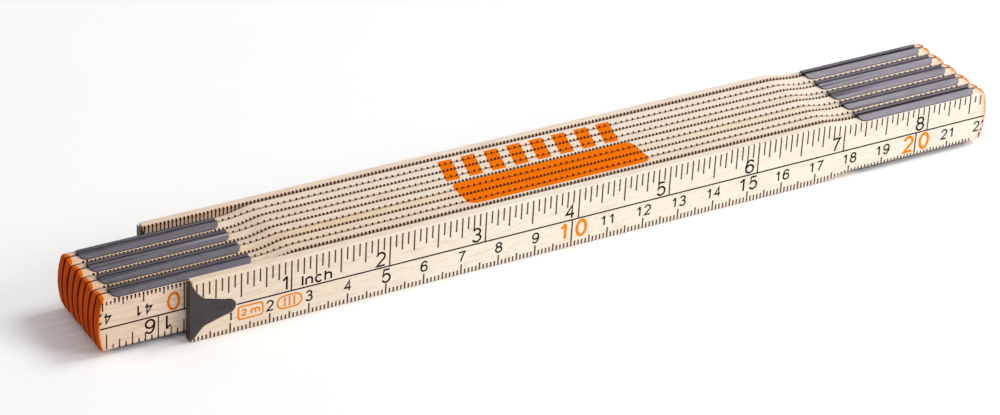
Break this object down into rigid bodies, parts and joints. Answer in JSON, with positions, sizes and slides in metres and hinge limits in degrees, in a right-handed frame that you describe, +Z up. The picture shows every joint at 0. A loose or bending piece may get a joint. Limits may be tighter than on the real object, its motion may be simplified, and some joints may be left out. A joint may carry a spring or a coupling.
{
  "type": "folding rule",
  "caption": "Wooden folding measuring rule, folded, with sheet-steel joints and printed inch and centimetre scales.",
  "frame": {"origin": "centre of the folded rule's bounding box at its bottom, on the plane of the leaves' lower edges", "axes": "+X along the folded rule towards the end with five joints, +Y from the front leaf (the one with the zero mark) to the rear leaf, +Z up across the leaves' width"},
  "size_m": [0.2426, 0.0292, 0.016],
  "materials": {
    "birch": "clear-lacquered pale birch with printed scales and orange end grain",
    "plate_steel": "dark bronzed sheet steel, satin",
    "rivet_steel": "plain bright steel",
    "spring_steel": "tempered spring steel",
    "cap_steel": "dark grey bronzed steel, satin"
  },
  "bodies": {
    "leaf_1_assembly": {"leaf_01": "birch", "joint_1_2_front_plate": "plate_steel", "joint_1_2_rivet": "rivet_steel", "joint_1_2_detent_spring": "spring_steel", "zero_end_cap": "cap_steel", "zero_end_cap_pin": "rivet_steel"},
    "leaf_2_assembly": {"leaf_02": "birch", "joint_1_2_rear_plate": "plate_steel", "joint_2_3_front_plate": "plate_steel", "joint_2_3_rivet": "rivet_steel", "joint_2_3_detent_spring": "spring_steel"},
    "leaf_3_assembly": {"leaf_03": "birch", "joint_2_3_rear_plate": "plate_steel", "joint_3_4_front_plate": "plate_steel", "joint_3_4_rivet": "rivet_steel", "joint_3_4_detent_spring": "spring_steel"},
    "leaf_4_assembly": {"leaf_04": "birch", "joint_3_4_rear_plate": "plate_steel", "joint_4_5_front_plate": "plate_steel", "joint_4_5_rivet": "rivet_steel", "joint_4_5_detent_spring": "spring_steel"},
    "leaf_5_assembly": {"leaf_05": "birch", "joint_4_5_rear_plate": "plate_steel", "joint_5_6_front_plate": "plate_steel", "joint_5_6_rivet": "rivet_steel", "joint_5_6_detent_spring": "spring_steel"},
    "leaf_6_assembly": {"leaf_06": "birch", "joint_5_6_rear_plate": "plate_steel", "joint_6_7_front_plate": "plate_steel", "joint_6_7_rivet": "rivet_steel", "joint_6_7_detent_spring": "spring_steel"},
    "leaf_7_assembly": {"leaf_07": "birch", "joint_6_7_rear_plate": "plate_steel", "joint_7_8_front_plate": "plate_steel", "joint_7_8_rivet": "rivet_steel", "joint_7_8_detent_spring": "spring_steel"},
    "leaf_8_assembly": {"leaf_08": "birch", "joint_7_8_rear_plate": "plate_steel", "joint_8_9_front_plate": "plate_steel", "joint_8_9_rivet": "rivet_steel", "joint_8_9_detent_spring": "spring_steel"},
    "leaf_9_assembly": {"leaf_09": "birch", "joint_8_9_rear_plate": "plate_steel", "joint_9_10_front_plate": "plate_steel", "joint_9_10_rivet": "rivet_steel", "joint_9_10_detent_spring": "spring_steel"},
    "leaf_10_assembly": {"leaf_10": "birch", "joint_9_10_rear_plate": "plate_steel", "two_metre_end_cap": "cap_steel", "two_metre_end_cap_pin": "rivet_steel"}
  },
  "joints": [
    {"name": "fold_1_2", "type": "hinge", "parent": "leaf_1_assembly", "child": "leaf_2_assembly", "pos_m": [0.1, -0.01178, 0.008], "axis": [0, 1, 0], "range_deg": [0, 180]},
    {"name": "fold_2_3", "type": "hinge", "parent": "leaf_2_assembly", "child": "leaf_3_assembly", "pos_m": [-0.1, -0.0087, 0.008], "axis": [0, -1, 0], "range_deg": [0, 180]},
    {"name": "fold_3_4", "type": "hinge", "parent": "leaf_3_assembly", "child": "leaf_4_assembly", "pos_m": [0.1, -0.0058, 0.008], "axis": [0, 1, 0], "range_deg": [0, 180]},
    {"name": "fold_4_5", "type": "hinge", "parent": "leaf_4_assembly", "child": "leaf_5_assembly", "pos_m": [-0.1, -0.0029, 0.008], "axis": [0, -1, 0], "range_deg": [0, 180]},
    {"name": "fold_5_6", "type": "hinge", "parent": "leaf_5_assembly", "child": "leaf_6_assembly", "pos_m": [0.1, 0, 0.008], "axis": [0, 1, 0], "range_deg": [0, 180]},
    {"name": "fold_6_7", "type": "hinge", "parent": "leaf_6_assembly", "child": "leaf_7_assembly", "pos_m": [-0.1, 0.0029, 0.008], "axis": [0, -1, 0], "range_deg": [0, 180]},
    {"name": "fold_7_8", "type": "hinge", "parent": "leaf_7_assembly", "child": "leaf_8_assembly", "pos_m": [0.1, 0.0058, 0.008], "axis": [0, 1, 0], "range_deg": [0, 180]},
    {"name": "fold_8_9", "type": "hinge", "parent": "leaf_8_assembly", "child": "leaf_9_assembly", "pos_m": [-0.1, 0.0087, 0.008], "axis": [0, -1, 0], "range_deg": [0, 180]},
    {"name": "fold_9_10", "type": "hinge", "parent": "leaf_9_assembly", "child": "leaf_10_assembly", "pos_m": [0.1, 0.01178, 0.008], "axis": [0, 1, 0], "range_deg": [0, 180]}
  ]
}
